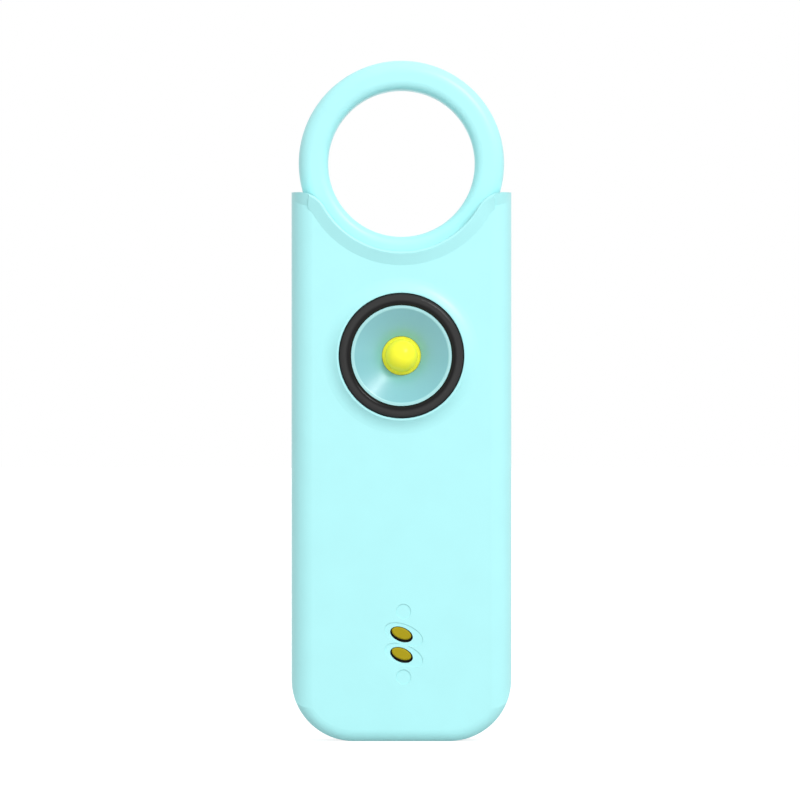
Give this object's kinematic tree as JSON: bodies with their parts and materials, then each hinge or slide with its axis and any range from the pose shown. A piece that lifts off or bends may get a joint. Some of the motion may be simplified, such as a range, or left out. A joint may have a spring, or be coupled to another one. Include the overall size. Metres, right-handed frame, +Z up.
{
  "type": "personal safety alarm",
  "caption": "Slim upright alarm case with a finger ring in its top slot that pulls out to sound the siren, a round lamp in a black bezel and oval charging contacts on the front.",
  "frame": {"origin": "centre of the case's flat base, in the plane where the two shells meet", "axes": "+Z up towards the pull ring, -Y out of the face with the lamp and the contacts, +X to the viewer's right"},
  "size_m": [0.0318, 0.0151, 0.0987],
  "materials": {
    "case_plastic": "smooth satin moulding, pale aqua",
    "ring_plastic": "smooth satin moulding, pale aqua",
    "reflector_plastic": "satin aqua cone",
    "bezel_black": "semi-gloss black",
    "lamp_yellow": "clear-coated yellow resin",
    "tinned_wire": "tinned",
    "screw_steel": "nickel-plated",
    "spring_steel": "bright spring steel",
    "board_green": "solder mask",
    "coil_ferrite": "ferrite",
    "chip_black": "moulded epoxy",
    "capacitor_tan": "fired ceramic",
    "siren_black": "moulded",
    "piezo_brass": "rolled",
    "piezo_white": "silvered ceramic",
    "foam_grey": "closed-cell foam",
    "mesh_black": "fine woven mesh",
    "battery_foil": "laminated foil pouch",
    "lead_red": "insulated wire",
    "insulator_black": "moulded",
    "contact_gold": "gold-plated, matt",
    "magnet_nickel": "nickel-plated",
    "plunger_white": "moulded"
  },
  "bodies": {
    "case": {"front_shell": "case_plastic", "rear_shell": "case_plastic", "case_screws": "screw_steel", "lamp_bezel": "bezel_black", "reflector_cup": "reflector_plastic", "lamp_led": "lamp_yellow", "lamp_spacer": "plunger_white", "lamp_leads": "tinned_wire", "main_board": "board_green", "boost_coil": "coil_ferrite", "controller_chip": "chip_black", "charging_chip": "chip_black", "board_capacitors": "capacitor_tan", "switch_body": "chip_black", "tongue_clip": "spring_steel", "siren_housing": "siren_black", "piezo_plate": "piezo_brass", "piezo_ceramic": "piezo_white", "siren_gasket": "foam_grey", "sound_mesh": "mesh_black", "siren_pins": "tinned_wire", "battery_cell": "battery_foil", "battery_pad": "foam_grey", "battery_leads": "lead_red", "contact_insulator": "insulator_black", "lower_contact": "contact_gold", "upper_contact": "contact_gold", "lower_magnet": "magnet_nickel", "upper_magnet": "magnet_nickel"},
    "ring": {"pull_ring": "ring_plastic"},
    "plunger": {"switch_plunger": "plunger_white"}
  },
  "joints": [
    {"name": "ring_pull", "type": "slide", "parent": "case", "child": "ring", "axis": [0, 0, 1], "range_m": [0, 0.02]},
    {"name": "plunger_rise", "type": "slide", "parent": "case", "child": "plunger", "axis": [0, 0, 1], "range_m": [0, 0.0005]}
  ],
  "couplings": [
    {"joint": "plunger_rise", "follows": "ring_pull", "ratio": 0.025}
  ]
}
